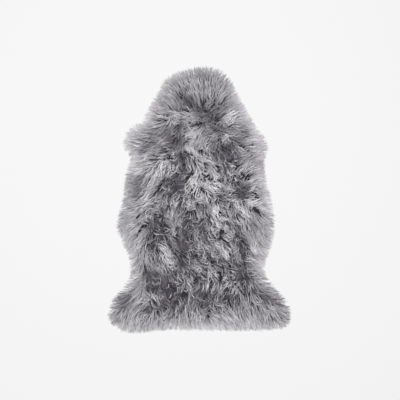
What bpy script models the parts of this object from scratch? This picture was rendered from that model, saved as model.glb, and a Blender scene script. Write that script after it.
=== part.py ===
"""A long-wool sheepskin rug that lies flat on its skin side.

A tanned pelt with its wool on is one piece, so the rug is one solid: a flat underside, a lumpy slab
of wool with raised tufts and clefts, and a rim of tapered locks that lie level on the surface.
Metres, +Z up, the neck towards +Y. The origin lies under the middle of the rug.
"""

import math

import bmesh
import bpy
import numpy as np

MM = 0.001

# The rug's real size, wool tips included.
LENGTH = 950 * MM
WIDTH = 655 * MM

# The wool slab: thin at the rim, full a hand's breadth further in.
RIM_HEIGHT = 23 * MM
PILE_HEIGHT = 40 * MM
SHOULDER_WIDTH = 55 * MM
LOWEST_WOOL = 9 * MM

# Cells of the slab's surface. A lock grows from the outer side of each rim cell.
CELLS_ACROSS = 52
CELLS_ALONG = 62
SPREAD_ROUNDS = 200

# The rim locks: four-sided, wide at the root and thin at the tip.
LOCK_LENGTH = 30 * MM
SHORTEST_LOCK_SHARE = 0.60
LOCK_LEAN_CELLS = 1.1
LOCK_JITTER_CELLS = 0.18
BEND_SHARE = 0.50
BEND_WIDTH_SHARE = 0.76
BEND_HEIGHT_SHARE = 0.66
TIP_WIDTH_SHARE = 0.26
TIP_HEIGHT = 3 * MM
RIM_ROUNDING = 3

# The small locks that cover the slab between the tufts.
SMALL_LOCK_PITCH = 36 * MM
SMALL_LOCK_LENGTH = 72 * MM
SMALL_LOCK_WIDTH = 38 * MM
SMALL_LOCK_RISE = 12 * MM
SMALL_LOCK_ROW_SHARE = 0.80
SMALL_LOCK_JITTER = 0.30
FLOW_BLEND = 55 * MM

# The form of one lock, in shares of its length: it swells, then falls off at its tip and grows narrower.
LOCK_SWELL = (-0.50, 0.15)
LOCK_FALL = (0.28, 0.52)
LOCK_NARROWING = 0.35
TUFT_WIDTH_SHARE = 0.60
RELIEF_SHARE_AT_RIM = 0.35

WOOL_COLOUR = (0.30, 0.285, 0.31, 1.0)
WOOL_ROUGHNESS = 0.9

# How far the wool tips reach, clockwise from the neck, in millimetres: x, y.
REACH = (
    # The neck, down to the right shoulder.
    (-48, 466), (-12, 474), (30, 474), (76, 460), (106, 430), (128, 390), (150, 350), (173, 306),
    (198, 264), (224, 228), (240, 192),
    # The right flank, its belly and the waist, down to the right leg.
    (230, 155), (227, 114), (238, 60), (254, 0), (261, -60), (264, -106), (254, -153), (238, -198),
    (227, -238), (238, -278), (265, -310), (300, -352), (322, -393), (322, -428),
    # The tail edge, across to the left leg.
    (305, -454), (255, -463), (100, -466), (-66, -463), (-145, -466), (-212, -474), (-268, -470),
    (-310, -448),
    # The left leg, waist and flank, up to the ear.
    (-327, -412), (-318, -374), (-300, -342), (-270, -310), (-248, -274), (-245, -238), (-254, -196),
    (-272, -153), (-293, -107), (-293, -64), (-277, -14), (-269, 36), (-262, 93), (-247, 140),
    (-250, 166), (-270, 190), (-265, 226),
    # The ear, and up the left of the neck.
    (-242, 262), (-203, 281), (-187, 320), (-160, 363), (-141, 398), (-122, 430), (-86, 452),
)

# The corners of the slab's surface, as places in REACH: ear, right shoulder, right leg, left leg.
CORNERS = (49, 10, 24, 32)

# The main tufts, in millimetres and degrees: where each lies, which way its tips point, counted from +X
# towards +Y, how long it is and how far it stands above the wool around it.
TUFTS = (
    # x, y, heading, length, rise
    (30, 430, 85, 90, 6), (-60, 418, 112, 90, 7), (-112, 384, 128, 90, 8), (100, 382, 48, 85, 7),
    (-16, 372, 100, 80, 8), (142, 318, 28, 85, 7), (-156, 312, 155, 80, 6), (-34, 294, 250, 80, 12),
    (0, 230, 212, 105, 15), (66, 272, 50, 80, 9), (142, 254, 12, 85, 8), (-140, 268, 205, 80, 8),
    (-236, 222, 185, 75, 8), (198, 192, 0, 85, 8), (116, 198, 315, 75, 9), (162, 165, 38, 80, 10),
    (46, 82, 308, 110, 15), (-24, 66, 225, 105, 15), (-168, 150, 198, 95, 9), (-174, 56, 230, 150, 13),
    (-240, 50, 165, 65, 6), (-176, -22, 208, 85, 9), (-86, 14, 225, 80, 8), (164, 98, 45, 95, 10),
    (210, 16, 14, 80, 8), (136, -28, 262, 90, 11), (206, -62, 304, 100, 9), (-78, -72, 290, 120, 12),
    (56, -86, 298, 90, 10), (-262, -88, 226, 95, 6), (-208, -176, 275, 120, 10), (-118, -190, 300, 120, 15),
    (88, -166, 308, 95, 14), (214, -196, 335, 80, 8), (-16, -218, 350, 70, 8), (42, -268, 265, 75, 10),
    (102, -320, 227, 95, 11), (180, -328, 312, 95, 9), (272, -344, 330, 95, 8), (226, -416, 290, 85, 8),
    (98, -416, 308, 90, 7), (-42, -334, 272, 85, 11), (-44, -416, 270, 85, 7), (-174, -356, 312, 70, 9),
    (-228, -316, 214, 90, 8), (-284, -410, 238, 85, 7), (-146, -414, 252, 85, 7), (-238, -232, 250, 70, 5),
)

# The clefts, where the wool parts down to its roots, in millimetres: x, y, how wide and how deep each is.
CLEFTS = (
    (38, 314, 85, 13), (-88, 206, 90, 14), (82, 146, 80, 13), (-104, 54, 65, 11), (-12, -80, 60, 9),
    (-140, -106, 75, 11), (-112, -312, 105, 16), (162, -268, 75, 13), (114, 4, 45, 9), (38, -346, 75, 8),
    (-48, -160, 55, 9),
)


def clear_scene():
    for thing in list(bpy.data.objects):
        bpy.data.objects.remove(thing, do_unlink=True)


def wool_material():
    material = bpy.data.materials.new("grey_wool")
    material.use_nodes = True
    shader = material.node_tree.nodes["Principled BSDF"]
    shader.inputs["Base Color"].default_value = WOOL_COLOUR
    shader.inputs["Roughness"].default_value = WOOL_ROUGHNESS
    shader.inputs["Metallic"].default_value = 0.0
    return material


def steady_random(*places):
    """A number from 0 to 1 that is the same each run for the same places."""
    mixed = sum(place * step for place, step in zip(places, (12.9898, 78.233, 37.719)))
    return math.sin(mixed) * 43758.5453 % 1.0


def smooth_step(low, high, values):
    share = np.clip((values - low) / (high - low), 0.0, 1.0)
    return share * share * (3.0 - 2.0 * share)


def curve_between(first, last, steps=12):
    """Fine points of the closed reach curve from one of its places to another, through each place between."""
    places = np.array(REACH, float) * MM
    count = len(places)
    fine = []
    for place in range(first, last if last > first else last + count):
        before, start, end, after = (places[(place + step) % count] for step in (-1, 0, 1, 2))
        for share in np.arange(steps) / steps:
            bend = (
                2 * start
                + (end - before) * share
                + (2 * before - 5 * start + 4 * end - after) * share**2
                + (3 * start - before - 3 * end + after) * share**3
            )
            fine.append(bend / 2)
    fine.append(places[last % count])
    return np.array(fine)


def even_points(curve, cells):
    """Points at equal steps along a curve, both ends included."""
    lengths = np.concatenate([[0.0], np.cumsum(np.linalg.norm(np.diff(curve, axis=0), axis=1))])
    wanted = np.linspace(0.0, lengths[-1], cells + 1)
    return np.column_stack([np.interp(wanted, lengths, curve[:, axis]) for axis in (0, 1)])


def reach_ring():
    """The closed line of wool tips, clockwise from the ear, with one point for each rim cell."""
    ear, shoulder, right_leg, left_leg = CORNERS
    sides = (
        (ear, shoulder, CELLS_ACROSS),
        (shoulder, right_leg, CELLS_ALONG),
        (right_leg, left_leg, CELLS_ACROSS),
        (left_leg, ear, CELLS_ALONG),
    )
    return np.concatenate([even_points(curve_between(a, b), cells)[:-1] for a, b, cells in sides])


def rim_ring(reach):
    """The line where the slab ends and its rim locks begin: the reach, drawn in by a lock and rounded."""
    along = np.roll(reach, -1, axis=0) - np.roll(reach, 1, axis=0)
    along /= np.linalg.norm(along, axis=1)[:, None]
    outward = np.column_stack([-along[:, 1], along[:, 0]])
    for _ in range(RIM_ROUNDING):
        outward = (np.roll(outward, 1, axis=0) + 2 * outward + np.roll(outward, -1, axis=0)) / 4
    rim = reach - outward * LOCK_LENGTH
    for _ in range(RIM_ROUNDING):
        rim = (np.roll(rim, 1, axis=0) + 2 * rim + np.roll(rim, -1, axis=0)) / 4
    return rim


def slab_places(rim):
    """Where the slab's surface points lie: rows from the tail edge to the neck, spread evenly inside the rim."""
    across, along = CELLS_ACROSS, CELLS_ALONG
    closed = np.concatenate([rim, rim[:1]])
    neck = closed[: across + 1]
    right = closed[across : across + along + 1][::-1]
    tail = closed[across + along : 2 * across + along + 1][::-1]
    left = closed[2 * across + along :]
    u = np.linspace(0.0, 1.0, across + 1)[None, :, None]
    v = np.linspace(0.0, 1.0, along + 1)[:, None, None]
    places = (1 - v) * tail[None] + v * neck[None] + (1 - u) * left[:, None] + u * right[:, None]
    places -= (1 - v) * ((1 - u) * tail[0] + u * tail[-1]) + v * ((1 - u) * neck[0] + u * neck[-1])
    for _ in range(SPREAD_ROUNDS):
        beside = places[1:-1, :-2] + places[1:-1, 2:]
        places[1:-1, 1:-1] = (places[:-2, 1:-1] + places[2:, 1:-1] + beside) / 4
    return places


def flow_heading(x, y):
    """Which way the wool lies at a place, in radians, blended from the tufts around it."""
    tufts = np.array(TUFTS, float)
    weights = np.exp(-((tufts[:, 0] * MM - x) ** 2 + (tufts[:, 1] * MM - y) ** 2) / FLOW_BLEND**2)
    headings = np.radians(tufts[:, 2])
    return math.atan2((weights * np.sin(headings)).sum(), (weights * np.cos(headings)).sum())


def lock_shape(points, x, y, heading, length, width):
    """From 0 to 1, how far a lock that lies at x, y stands up at each point."""
    forward = np.array([math.cos(heading), math.sin(heading)])
    sideways = np.array([-forward[1], forward[0]])
    offset = points - np.array([x, y])
    along = offset @ forward / length
    swell = smooth_step(*LOCK_SWELL, along) * (1.0 - smooth_step(*LOCK_FALL, along))
    narrowed = width * (1.0 - LOCK_NARROWING * smooth_step(0.0, 0.5, along))
    across = np.clip(1.0 - (2.0 * (offset @ sideways) / narrowed) ** 2, 0.0, 1.0)
    return swell * np.sqrt(across)


def small_locks():
    """The small locks in a staggered, uneven lattice, as x, y, heading and rise."""
    pitch = SMALL_LOCK_PITCH
    rows = int(LENGTH / pitch)
    columns = int(WIDTH / pitch)
    for row in range(-rows, rows + 1):
        for column in range(-columns, columns + 1):
            drift = [(steady_random(row, column, turn) - 0.5) * 2 * SMALL_LOCK_JITTER for turn in (1, 2, 3)]
            x = (column + 0.5 * (row % 2) + drift[0]) * pitch
            y = (row * SMALL_LOCK_ROW_SHARE + drift[1]) * pitch
            if abs(x) < WIDTH / 2 and abs(y) < LENGTH / 2:
                yield x, y, flow_heading(x, y) + drift[2], SMALL_LOCK_RISE * (1.0 + drift[0])


def wool_heights(points, rim):
    """How high the wool stands at each point of the slab."""
    to_rim = np.linalg.norm(points[:, None] - rim[None], axis=2).min(axis=1)
    shoulder = np.sin(np.clip(to_rim / SHOULDER_WIDTH, 0.0, 1.0) * math.pi / 2)
    locks = np.zeros(len(points))
    for x, y, heading, rise in small_locks():
        shape = lock_shape(points, x, y, heading, SMALL_LOCK_LENGTH, SMALL_LOCK_WIDTH)
        locks = np.maximum(locks, rise * shape)
    tufts = np.zeros(len(points))
    for x, y, heading, length, rise in TUFTS:
        long = length * MM
        shape = lock_shape(points, x * MM, y * MM, math.radians(heading), long, long * TUFT_WIDTH_SHARE)
        tufts = np.maximum(tufts, rise * MM * shape)
    clefts = np.zeros(len(points))
    for x, y, width, depth in CLEFTS:
        away = np.linalg.norm(points - np.array([x, y]) * MM, axis=1) / (width * MM / 2)
        clefts = np.maximum(clefts, depth * MM * np.exp(-(away**2)))
    relief = (locks + tufts - clefts) * (RELIEF_SHARE_AT_RIM + (1.0 - RELIEF_SHARE_AT_RIM) * shoulder)
    return np.maximum(RIM_HEIGHT + (PILE_HEIGHT - RIM_HEIGHT) * shoulder + relief, LOWEST_WOOL)


def ring_place(column, row):
    """The number on the ring of the slab's rim point in this column and row, or None inside the slab."""
    across, along = CELLS_ACROSS, CELLS_ALONG
    if row == along:
        return column
    if column == across:
        return across + along - row
    if row == 0:
        return 2 * across + along - column
    if column == 0:
        return 2 * across + along + row
    return None


def lock_tip(cell, rim, reach):
    """Where the tip of a rim cell's lock lies: on the reach or a little short of it, leaning with the wool."""
    count = len(reach)
    root = (rim[cell] + rim[(cell + 1) % count]) / 2
    along = rim[(cell + 1) % count] - rim[cell]
    heading = flow_heading(*root)
    lean = (math.cos(heading) * along[0] + math.sin(heading) * along[1]) / np.linalg.norm(along)
    jitter = (steady_random(cell, 5) - 0.5) * 2 * LOCK_JITTER_CELLS
    place = cell + 0.5 + lean * LOCK_LEAN_CELLS + jitter
    whole = math.floor(place)
    far = reach[whole % count] + (reach[(whole + 1) % count] - reach[whole % count]) * (place - whole)
    share = SHORTEST_LOCK_SHARE + (1.0 - SHORTEST_LOCK_SHARE) * steady_random(cell, 9)
    return root, root + (far - root) * share


def grow_lock(mesh, wall, root, tip, root_width):
    """Draws one wall cell out into a lock: a bent stretch, then the tip, with its underside level."""
    top_height = max(vertex.co.z for vertex in wall.verts)
    forward = tip - root
    sideways = np.array([-forward[1], forward[0]]) / np.linalg.norm(forward)
    for reach_share, width_share, height in (
        (BEND_SHARE, BEND_WIDTH_SHARE, top_height * BEND_HEIGHT_SHARE),
        (1.0, TIP_WIDTH_SHARE, TIP_HEIGHT),
    ):
        wall = bmesh.ops.extrude_discrete_faces(mesh, faces=[wall])["faces"][0]
        centre = np.array(wall.calc_center_median())[:2]
        place = root + forward * reach_share
        for vertex in wall.verts:
            offset = np.array(vertex.co)[:2] - centre
            side = math.copysign(width_share * root_width / 2, offset @ sideways)
            vertex.co.x, vertex.co.y = place + sideways * side
            vertex.co.z = height if vertex.co.z > TIP_HEIGHT / 2 else 0.0


def sheepskin_mesh():
    mesh = bmesh.new()
    reach = reach_ring()
    rim = rim_ring(reach)
    places = slab_places(rim)
    heights = wool_heights(places.reshape(-1, 2), rim).reshape(places.shape[:2])

    bmesh.ops.create_grid(mesh, x_segments=CELLS_ACROSS, y_segments=CELLS_ALONG, size=0.5)
    ring_of = {}
    for vertex in mesh.verts:
        column = round((vertex.co.x + 0.5) * CELLS_ACROSS)
        row = round((vertex.co.y + 0.5) * CELLS_ALONG)
        vertex.co = (*places[row, column], heights[row, column])
        ring_of[vertex] = ring_place(column, row)

    rim_edges = [edge for edge in mesh.edges if edge.is_boundary]
    drawn = bmesh.ops.extrude_edge_only(mesh, edges=rim_edges)["geom"]
    for vertex in drawn:
        if isinstance(vertex, bmesh.types.BMVert):
            vertex.co.z = 0.0
    floor_edges = [edge for edge in drawn if isinstance(edge, bmesh.types.BMEdge) and edge.is_boundary]
    walls = [face for face in drawn if isinstance(face, bmesh.types.BMFace)]
    bmesh.ops.contextual_create(mesh, geom=floor_edges)
    bmesh.ops.recalc_face_normals(mesh, faces=mesh.faces)

    for wall in walls:
        cells = sorted(ring_of[vertex] for vertex in wall.verts if vertex in ring_of)
        cell = cells[-1] if cells[1] - cells[0] > 1 else cells[0]
        root, tip = lock_tip(cell, rim, reach)
        grow_lock(mesh, wall, root, tip, np.linalg.norm(rim[cell] - rim[(cell + 1) % len(rim)]))
    return mesh


def fit_to_size(mesh):
    """Brings the tips of the rim locks to the rug's stated length and width, about the origin."""
    for axis, size in ((0, WIDTH), (1, LENGTH)):
        low = min(vertex.co[axis] for vertex in mesh.verts)
        high = max(vertex.co[axis] for vertex in mesh.verts)
        for vertex in mesh.verts:
            vertex.co[axis] = (vertex.co[axis] - (low + high) / 2) * size / (high - low)


def build_sheepskin():
    collection = bpy.data.collections.new("sheepskin_rug")
    bpy.context.scene.collection.children.link(collection)
    mesh = sheepskin_mesh()
    fit_to_size(mesh)
    data = bpy.data.meshes.new("sheepskin")
    mesh.to_mesh(data)
    mesh.free()
    data.materials.append(wool_material())
    data.shade_smooth()
    data.set_sharp_from_angle(angle=math.radians(45))
    collection.objects.link(bpy.data.objects.new("sheepskin", data))


clear_scene()
build_sheepskin()
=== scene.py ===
import math

import bmesh
import bpy
import numpy as np
from mathutils.bvhtree import BVHTree
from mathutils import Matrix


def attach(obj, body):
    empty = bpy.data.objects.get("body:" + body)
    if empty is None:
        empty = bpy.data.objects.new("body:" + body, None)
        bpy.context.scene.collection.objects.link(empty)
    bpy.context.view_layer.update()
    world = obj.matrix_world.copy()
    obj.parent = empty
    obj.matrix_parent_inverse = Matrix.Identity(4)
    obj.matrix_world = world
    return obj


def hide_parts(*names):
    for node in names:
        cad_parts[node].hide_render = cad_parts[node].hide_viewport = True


# A long-wool sheepskin rug that lies flat on its suede side. Metres, +Z up, the neck towards +Y.
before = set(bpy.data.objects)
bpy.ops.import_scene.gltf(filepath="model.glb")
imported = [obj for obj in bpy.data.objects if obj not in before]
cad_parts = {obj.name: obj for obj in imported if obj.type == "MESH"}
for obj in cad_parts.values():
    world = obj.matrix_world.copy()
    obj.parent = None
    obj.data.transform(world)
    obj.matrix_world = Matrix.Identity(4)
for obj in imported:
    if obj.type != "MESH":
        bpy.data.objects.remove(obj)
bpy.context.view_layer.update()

# --- The pelt -------------------------------------------------------------------------------------
# One whole tanned sheepskin, trimmed to its natural outline: neck, ear, shoulders, flanks, waist and
# hind legs. It is soft suede, two millimetres thick, cut in one piece and laid flat with nothing sewn on.

MM = 0.001
# How far the wool tips reach, clockwise from the neck, in millimetres: x, y.
WOOL_REACH = (
    # The neck, down to the right shoulder.
    (-48, 466), (-12, 474), (30, 474), (76, 460), (106, 430), (128, 390), (150, 350), (173, 306),
    (198, 264), (224, 228), (240, 192),
    # The right flank, its belly and the waist, down to the right leg.
    (230, 155), (227, 114), (238, 60), (254, 0), (261, -60), (264, -106), (254, -153), (238, -198),
    (227, -238), (238, -278), (265, -310), (300, -352), (322, -393), (322, -428),
    # The tail edge, across to the left leg.
    (305, -454), (255, -463), (100, -466), (-66, -463), (-145, -466), (-212, -474), (-268, -470),
    (-310, -448),
    # The left leg, waist and flank, up to the ear.
    (-327, -412), (-318, -374), (-300, -342), (-270, -310), (-248, -274), (-245, -238), (-254, -196),
    (-272, -153), (-293, -107), (-293, -64), (-277, -14), (-269, 36), (-262, 93), (-247, 140),
    (-247, 162), (-269, 184), (-267, 226),
    # The ear, and up the left of the neck.
    (-242, 262), (-203, 281), (-187, 320), (-160, 363), (-141, 398), (-122, 430), (-86, 452),
)
REACH_STEPS = 10
PELT_INSET = 36 * MM
PELT_THICKNESS = 2 * MM
PELT_ROUNDING = 60
SUEDE_PALE = (0.66, 0.60, 0.52, 1.0)
SUEDE_WORN = (0.50, 0.44, 0.37, 1.0)
SUEDE_GREY = (0.44, 0.41, 0.39, 1.0)
SUEDE_CLOUDS = 7.0
SUEDE_CLOUD_EDGES = (0.35, 0.65)
SUEDE_NAP = 420.0
SUEDE_NAP_HEIGHT = 0.6 * MM
SUEDE_DUST = 0.5


class Wire:
    """One socket of a node tree. Sums on it add Math nodes, or Vector Math nodes where it is a vector."""

    def __init__(self, tree, socket):
        self.tree = tree
        self.socket = socket

    def sum_with(self, operation, first, second):
        """Adds the node for one operation, and makes a bare number a vector where a wire is one."""
        wires = [value for value in (first, second) if isinstance(value, Wire)]
        vector = any(wire.socket.type == "VECTOR" for wire in wires)
        if vector:
            first, second = [
                (value,) * 3 if isinstance(value, (int, float)) else value for value in (first, second)
            ]
        kind = "ShaderNodeVectorMath" if vector else "ShaderNodeMath"
        return node(self.tree, kind, {"operation": operation}, {0: first, 1: second})

    def __add__(self, other):
        return self.sum_with("ADD", self, other)

    def __mul__(self, other):
        return self.sum_with("MULTIPLY", self, other)

    __radd__ = __add__
    __rmul__ = __mul__

    def __rsub__(self, other):
        return self.sum_with("SUBTRACT", other, self)


def node(tree, kind, settings=None, sockets=None, output=0):
    """Adds a node, sets it, and fills its sockets with values or wires. Returns one of its outputs."""
    made = tree.nodes.new(kind)
    for name, value in (settings or {}).items():
        setattr(made, name, value)
    for place, value in (sockets or {}).items():
        if isinstance(value, Wire):
            tree.links.new(value.socket, made.inputs[place])
        else:
            made.inputs[place].default_value = value
    return Wire(tree, made.outputs[output])


def blend(tree, share, first, second, kind="RGBA"):
    """The Mix node: first where share is 0, second where it is 1."""
    place, output = {"FLOAT": (2, 0), "VECTOR": (4, 1), "RGBA": (6, 2)}[kind]
    sockets = {0: share, place: first, place + 1: second}
    return node(tree, "ShaderNodeMix", {"data_type": kind}, sockets, output)


def finish_of(name):
    """A new material and its tree and shader."""
    made = bpy.data.materials.new(name)
    made.use_nodes = True
    return made, made.node_tree, made.node_tree.nodes["Principled BSDF"]


def closed_curve(places, steps):
    """Fine points of a smooth closed curve through all the places."""
    places = np.array(places, float)
    before, after, beyond = (np.roll(places, shift, axis=0) for shift in (1, -1, -2))
    shares = (np.arange(steps) / steps)[None, :, None]
    start, end = places[:, None], after[:, None]
    before, beyond = before[:, None], beyond[:, None]
    bend = (
        2 * start
        + (end - before) * shares
        + (2 * before - 5 * start + 4 * end - beyond) * shares**2
        + (3 * start - before - 3 * end + beyond) * shares**3
    )
    return (bend / 2).reshape(-1, 2)


def rounded(values, rounds):
    """The closed row of values with each, in each round, drawn towards its two neighbours."""
    for _ in range(rounds):
        values = (np.roll(values, 1, axis=0) + 2 * values + np.roll(values, -1, axis=0)) / 4
    return values


def drawn_in(curve, inset, rounds):
    """The closed clockwise curve moved inwards and rounded."""
    along = np.roll(curve, -1, axis=0) - np.roll(curve, 1, axis=0)
    outward = rounded(np.column_stack([-along[:, 1], along[:, 0]]), rounds)
    outward /= np.linalg.norm(outward, axis=1)[:, None]
    return rounded(curve - outward * inset, rounds // 2)


def plain_object(name, mesh, material):
    """An object at the origin that holds the bmesh or mesh, in one material."""
    data = mesh
    if isinstance(mesh, bmesh.types.BMesh):
        data = bpy.data.meshes.new(name)
        mesh.to_mesh(data)
        mesh.free()
    data.materials.clear()
    data.materials.append(material)
    made = bpy.data.objects.new(name, data)
    bpy.context.scene.collection.objects.link(made)
    return made


reach = closed_curve(WOOL_REACH, REACH_STEPS) * MM
pelt_edge = drawn_in(reach, PELT_INSET, PELT_ROUNDING)

pelt_mesh = bmesh.new()
pelt_face = pelt_mesh.faces.new([pelt_mesh.verts.new((x, y, 0.0)) for x, y in pelt_edge])
drawn_up = bmesh.ops.extrude_face_region(pelt_mesh, geom=[pelt_face])["geom"]
for part in drawn_up:
    if isinstance(part, bmesh.types.BMVert):
        part.co.z = PELT_THICKNESS
bmesh.ops.recalc_face_normals(pelt_mesh, faces=pelt_mesh.faces)

suede, tree, shader = finish_of("suede")
place = node(tree, "ShaderNodeTexCoord", output="Object")
clouds = node(tree, "ShaderNodeTexNoise", None, {"Vector": place, "Scale": SUEDE_CLOUDS, "Detail": 4.0})
nap = node(tree, "ShaderNodeTexNoise", None, {"Vector": place, "Scale": SUEDE_NAP, "Detail": 3.0})
clouded = node(
    tree,
    "ShaderNodeMapRange",
    None,
    {"Value": clouds, "From Min": SUEDE_CLOUD_EDGES[0], "From Max": SUEDE_CLOUD_EDGES[1]},
)
worn = blend(tree, clouded, SUEDE_PALE, SUEDE_WORN)
dusty = blend(tree, nap * SUEDE_DUST, worn, SUEDE_GREY)
tree.links.new(dusty.socket, shader.inputs["Base Color"])
bump = node(
    tree, "ShaderNodeBump", None, {"Strength": 0.35, "Distance": SUEDE_NAP_HEIGHT, "Height": nap}
)
tree.links.new(bump.socket, shader.inputs["Normal"])
shader.inputs["Roughness"].default_value = 0.92
shader.inputs["Specular IOR Level"].default_value = 0.2
shader.inputs["Sheen Weight"].default_value = 0.25

pelt = plain_object("pelt", pelt_mesh, suede)
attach(pelt, "root")

# --- The undercoat --------------------------------------------------------------------------------
# The short dense wool next to the skin, felted into one springy mass. It is the darkest wool: its own
# dark grey, made near black by painted shade of the deep pile. It shows only where the long wool parts,
# and fills the lower half of the pile all over the pelt.

# A map holds a value for each place of a fine grid over the whole pelt.
MAP_PITCH = 4 * MM
MAP_LOW = (-360 * MM, -512 * MM)
MAP_CELLS = (180, 256)
OUTWARD_ROUNDS = 6
POINTS_AT_ONCE = 2000
TINY = 1e-6
LEAST_RISE = 1e-12

# How high the wool stands at the rim, from its tips inwards. Further in, it stands as high as the solid.
RIM_BAND = 32 * MM
RIM_HEIGHTS = (3 * MM, 23 * MM)
ABOVE_ALL = 1.0

# The undercoat keeps inside the wool's reach, rises from a low edge, and has cells two map steps wide.
UNDERCOAT_INSET = 30 * MM
UNDERCOAT_FULL_INSET = 48 * MM
UNDERCOAT_SHARE = 0.50
UNDERCOAT_EDGE = 6 * MM
UNDERCOAT_STRIDE = 2
EDGE_ROUNDS = 3
# The undercoat's colours: its own dark grey, with painted shade of the deep pile added.
UNDERCOAT_DARK_AND_SHADE = (0.016, 0.013, 0.019, 1.0)
UNDERCOAT_GREY_AND_SHADE = (0.050, 0.042, 0.056, 1.0)
FELT_TUFTS = 60.0
FELT_FIBRES = 500.0
FELT_FIBRE_SHARE = 0.5
FELT_HEIGHT = 2 * MM

map_x = MAP_LOW[0] + np.arange(MAP_CELLS[0] + 1) * MAP_PITCH
map_y = MAP_LOW[1] + np.arange(MAP_CELLS[1] + 1) * MAP_PITCH
map_places = np.stack(np.meshgrid(map_x, map_y, indexing="ij"), axis=-1)


def depth_inside(points, outline):
    """How far inside the closed outline each point lies; below 0 outside it."""
    ends = np.roll(outline, -1, axis=0)
    run = ends - outline
    found = []
    for some in np.array_split(points, max(1, len(points) // POINTS_AT_ONCE)):
        offset = some[:, None] - outline[None]
        share = np.clip((offset * run).sum(-1) / (run**2).sum(-1), 0.0, 1.0)
        away = np.linalg.norm(offset - share[..., None] * run, axis=-1).min(axis=1)
        above = outline[:, 1] > some[:, 1:]
        crossed = above != (ends[:, 1] > some[:, 1:])
        slope = run[:, 0] / np.where(np.abs(run[:, 1]) < LEAST_RISE, LEAST_RISE, run[:, 1])
        left = some[:, :1] < outline[:, 0] + (some[:, 1:] - outline[:, 1]) * slope
        inside = (crossed & left).sum(axis=1) % 2 == 1
        found.append(np.where(inside, away, -away))
    return np.concatenate(found)


def read_map(values, points):
    """The map's values at the points, blended between its nearest four places."""
    spot = (points - np.array(MAP_LOW)) / MAP_PITCH
    spot = np.clip(spot, 0.0, np.array(MAP_CELLS) - TINY)
    cell = spot.astype(int)
    share = spot - cell
    if values.ndim == 3:
        share = share[:, :, None]
    i, j = cell[:, 0], cell[:, 1]
    low = values[i, j] * (1 - share[:, 0]) + values[i + 1, j] * share[:, 0]
    high = values[i, j + 1] * (1 - share[:, 0]) + values[i + 1, j + 1] * share[:, 0]
    return low * (1 - share[:, 1]) + high * share[:, 1]


def eased(low, high, values):
    """0 up to the low value, 1 from the high one on, and a soft step between them."""
    share = np.clip((values - low) / (high - low), 0.0, 1.0)
    return share * share * (3.0 - 2.0 * share)


def smoothed(values, rounds):
    """The map with each value, in each round, made the mean of its four neighbours."""
    for _ in range(rounds):
        values[1:-1, 1:-1] = (
            values[:-2, 1:-1] + values[2:, 1:-1] + values[1:-1, :-2] + values[1:-1, 2:]
        ) / 4
    return values


depth_map = depth_inside(map_places.reshape(-1, 2), reach).reshape(map_places.shape[:2])
outward_map = smoothed(-np.stack(np.gradient(depth_map, MAP_PITCH), axis=-1), OUTWARD_ROUNDS)

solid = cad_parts["sheepskin"].data
solid_tree = BVHTree.FromPolygons(
    [point.co for point in solid.vertices], [tuple(face.vertices) for face in solid.polygons]
)
height_map = np.zeros(map_places.shape[:2])
for i, j in np.argwhere(depth_map > RIM_BAND / 2):
    hit = solid_tree.ray_cast((*map_places[i, j], ABOVE_ALL), (0.0, 0.0, -1.0))[0]
    height_map[i, j] = hit.z if hit else 0.0
rim_height = RIM_HEIGHTS[0] + (RIM_HEIGHTS[1] - RIM_HEIGHTS[0]) * eased(0.0, RIM_BAND, depth_map)
height_map = np.where(depth_map < RIM_BAND, rim_height, np.maximum(height_map, RIM_HEIGHTS[1] / 2))

undercoat_mesh = bmesh.new()
corner_at = {}
step = UNDERCOAT_STRIDE
for i in range(0, MAP_CELLS[0], step):
    for j in range(0, MAP_CELLS[1], step):
        middle = map_places[i, j] + MAP_PITCH * step / 2
        if read_map(depth_map, middle[None])[0] < UNDERCOAT_INSET:
            continue
        ring = []
        for place in ((i, j), (i + step, j), (i + step, j + step), (i, j + step)):
            if place not in corner_at:
                corner_at[place] = undercoat_mesh.verts.new((*map_places[place], 0.0))
            ring.append(corner_at[place])
        undercoat_mesh.faces.new(ring)
for place, corner in corner_at.items():
    spot = np.array(corner.co)[:2]
    if corner.is_boundary:
        for _ in range(EDGE_ROUNDS):
            short = UNDERCOAT_INSET - read_map(depth_map, spot[None])[0]
            away = read_map(outward_map, spot[None])[0]
            spot = spot - away / max(np.linalg.norm(away), TINY) * short
    height = read_map(height_map, spot[None])[0] * UNDERCOAT_SHARE
    inner = eased(UNDERCOAT_INSET, UNDERCOAT_FULL_INSET, read_map(depth_map, spot[None])[0])
    corner.co = (*spot, UNDERCOAT_EDGE + (height - UNDERCOAT_EDGE) * inner)
edge = [part for part in undercoat_mesh.edges if part.is_boundary]
drawn_down = bmesh.ops.extrude_edge_only(undercoat_mesh, edges=edge)["geom"]
for part in drawn_down:
    if isinstance(part, bmesh.types.BMVert):
        part.co.z = PELT_THICKNESS
foot = [part for part in drawn_down if isinstance(part, bmesh.types.BMEdge) and part.is_boundary]
bmesh.ops.contextual_create(undercoat_mesh, geom=foot)
bmesh.ops.recalc_face_normals(undercoat_mesh, faces=undercoat_mesh.faces)
for face in undercoat_mesh.faces:
    face.smooth = True

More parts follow.
